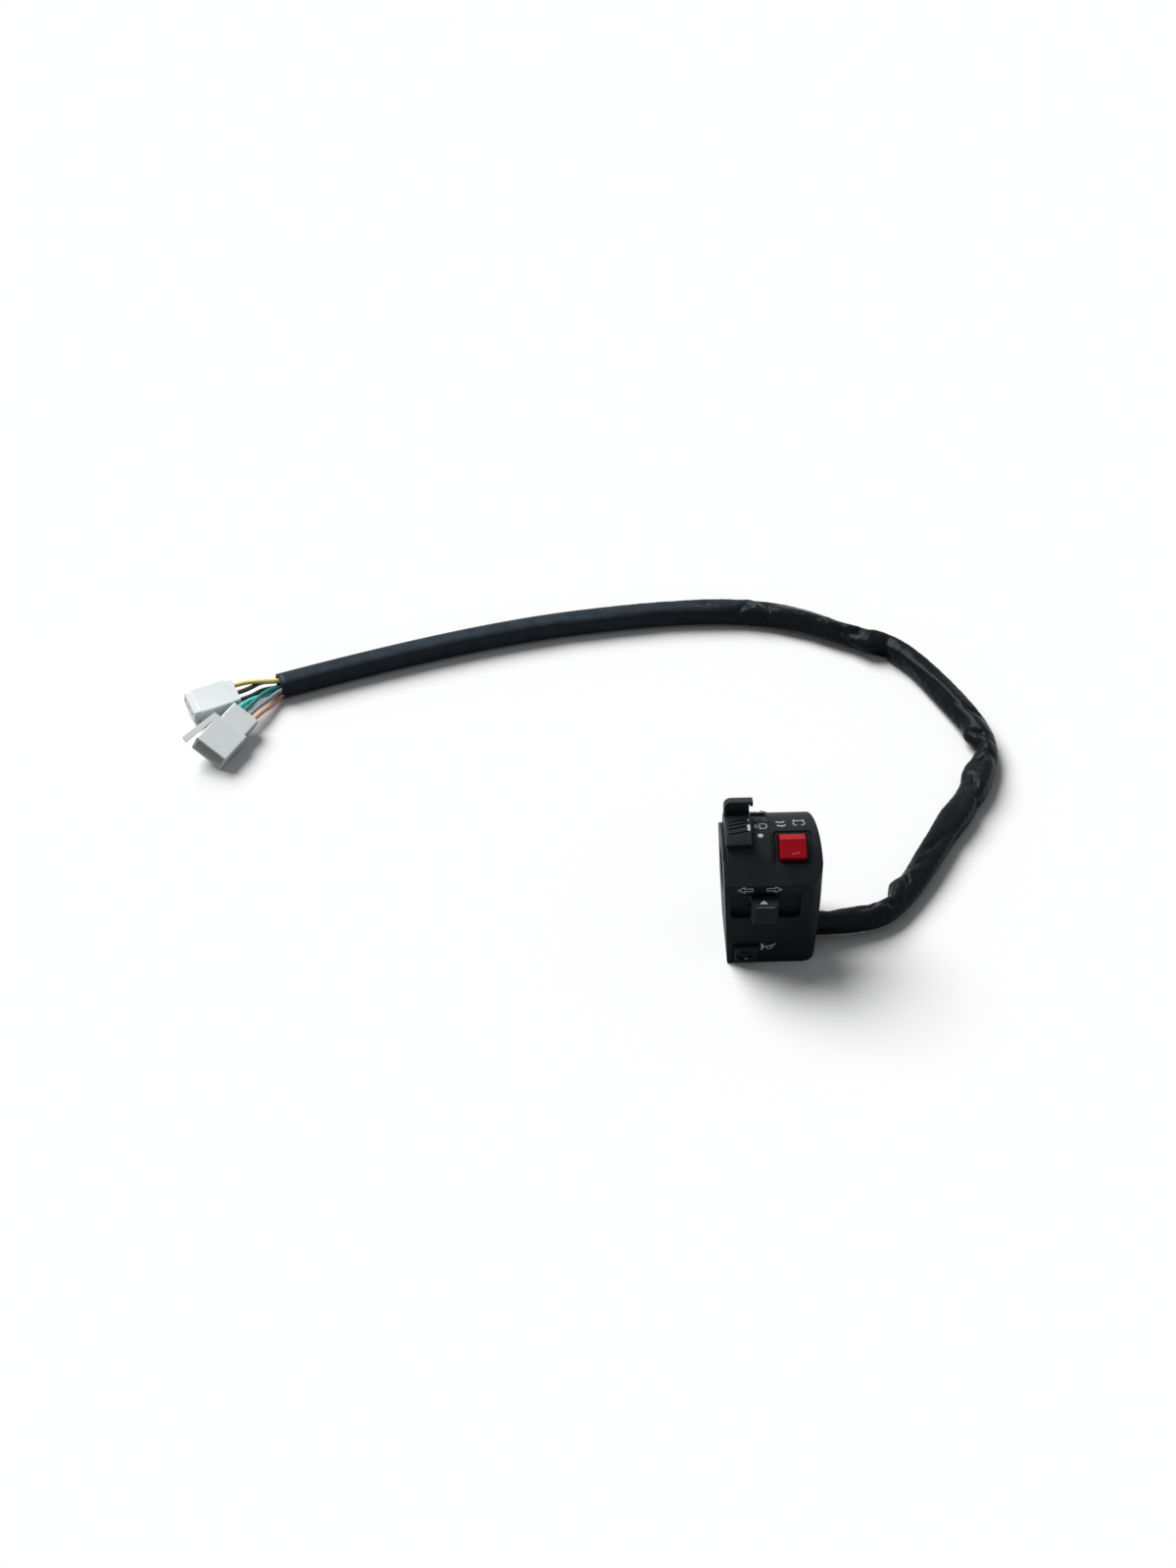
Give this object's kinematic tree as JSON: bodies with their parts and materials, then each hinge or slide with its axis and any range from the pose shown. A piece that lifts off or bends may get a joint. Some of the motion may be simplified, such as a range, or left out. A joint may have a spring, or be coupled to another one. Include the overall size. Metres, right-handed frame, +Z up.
{
  "type": "handlebar switch cluster",
  "caption": "Left handlebar switch housing with light lever, turn switch, horn button and red rocker, on a sleeved cable with two nylon connectors.",
  "frame": {"origin": "on the handlebar's axis, mid-way along the housing", "axes": "+X along the handlebar towards the cable side, +Y away from the rider, +Z up off the floor that the harness lies on"},
  "size_m": [0.4372, 0.2819, 0.0774],
  "materials": {
    "housing_black": "fine-grained black moulded nylon",
    "control_black": "satin black moulded plastic",
    "signal_red": "glossy red moulded plastic",
    "board_brown": "brown phenolic contact board",
    "inner_white": "natural acetal carrier",
    "contact_brass": "bright brass contacts",
    "spring_steel": "bright spring steel",
    "screw_steel": "zinc-plated steel",
    "grommet_rubber": "matt black rubber",
    "sleeve_vinyl": "dull dark slate vinyl tube",
    "connector_nylon": "natural translucent nylon",
    "lead_yellow": "yellow vinyl insulation",
    "lead_brown": "dark brown vinyl insulation",
    "lead_black": "black vinyl insulation",
    "lead_teal": "teal vinyl insulation",
    "lead_grey": "dark grey vinyl insulation",
    "lead_orange": "orange vinyl insulation",
    "clamp_steel": "zinc-plated strip steel"
  },
  "bodies": {
    "housing": {"front_housing": "housing_black", "rear_housing": "housing_black", "light_contact_plate": "board_brown", "light_contact_pads": "contact_brass", "light_plate_screws": "screw_steel", "turn_push_spring": "spring_steel", "turn_return_springs": "spring_steel", "turn_contact_board": "board_brown", "turn_contacts": "contact_brass", "horn_spring": "spring_steel", "horn_contact_plate": "board_brown", "horn_contacts": "contact_brass", "stop_pivot_pin": "screw_steel", "stop_bracket": "board_brown", "stop_contacts": "contact_brass", "housing_screws": "screw_steel", "module_screws": "screw_steel", "cable_grommet": "grommet_rubber", "wire_bundle": "lead_black", "cable_clamp": "clamp_steel", "inner_wires": "lead_brown", "cable_sleeve": "sleeve_vinyl", "upper_connector": "connector_nylon", "upper_terminals": "contact_brass", "lower_connector": "connector_nylon", "lower_terminals": "contact_brass", "wire_yellow": "lead_yellow", "wire_brown": "lead_brown", "wire_black": "lead_black", "wires_teal": "lead_teal", "wire_grey": "lead_grey", "wire_orange": "lead_orange"},
    "lever": {"light_lever": "control_black", "light_rotor": "inner_white", "lever_screw": "screw_steel", "light_detent_ball": "spring_steel", "light_detent_spring": "spring_steel", "light_wiper": "contact_brass"},
    "carriage": {"turn_carriage": "inner_white", "turn_wiper": "contact_brass"},
    "knob": {"turn_knob": "control_black"},
    "horn": {"horn_button": "control_black", "horn_contact_disc": "contact_brass"},
    "rocker": {"stop_rocker": "signal_red", "stop_wiper": "contact_brass"}
  },
  "joints": [
    {"name": "light_lever_turn", "type": "hinge", "parent": "housing", "child": "lever", "pos_m": [0, 0, 0], "axis": [1, 0, 0], "range_deg": [-12, 12]},
    {"name": "turn_slide", "type": "slide", "parent": "housing", "child": "carriage", "axis": [1, 0, 0], "range_m": [-0.004, 0.004], "stiffness_N_per_m": 200, "deforming": ["turn_return_springs"]},
    {"name": "turn_push", "type": "slide", "parent": "carriage", "child": "knob", "axis": [0, 1, 0], "range_m": [0, 0.0018], "stiffness_N_per_m": 300, "springref_m": -0.001, "deforming": ["turn_push_spring"]},
    {"name": "horn_press", "type": "slide", "parent": "housing", "child": "horn", "axis": [0, 1, 0], "range_m": [0, 0.002], "stiffness_N_per_m": 300, "springref_m": -0.001, "deforming": ["horn_spring"]},
    {"name": "stop_rock", "type": "hinge", "parent": "housing", "child": "rocker", "pos_m": [0.01, -0.00899, 0.01876], "axis": [0, 0.9018, 0.4321], "range_deg": [-6, 6]}
  ]
}
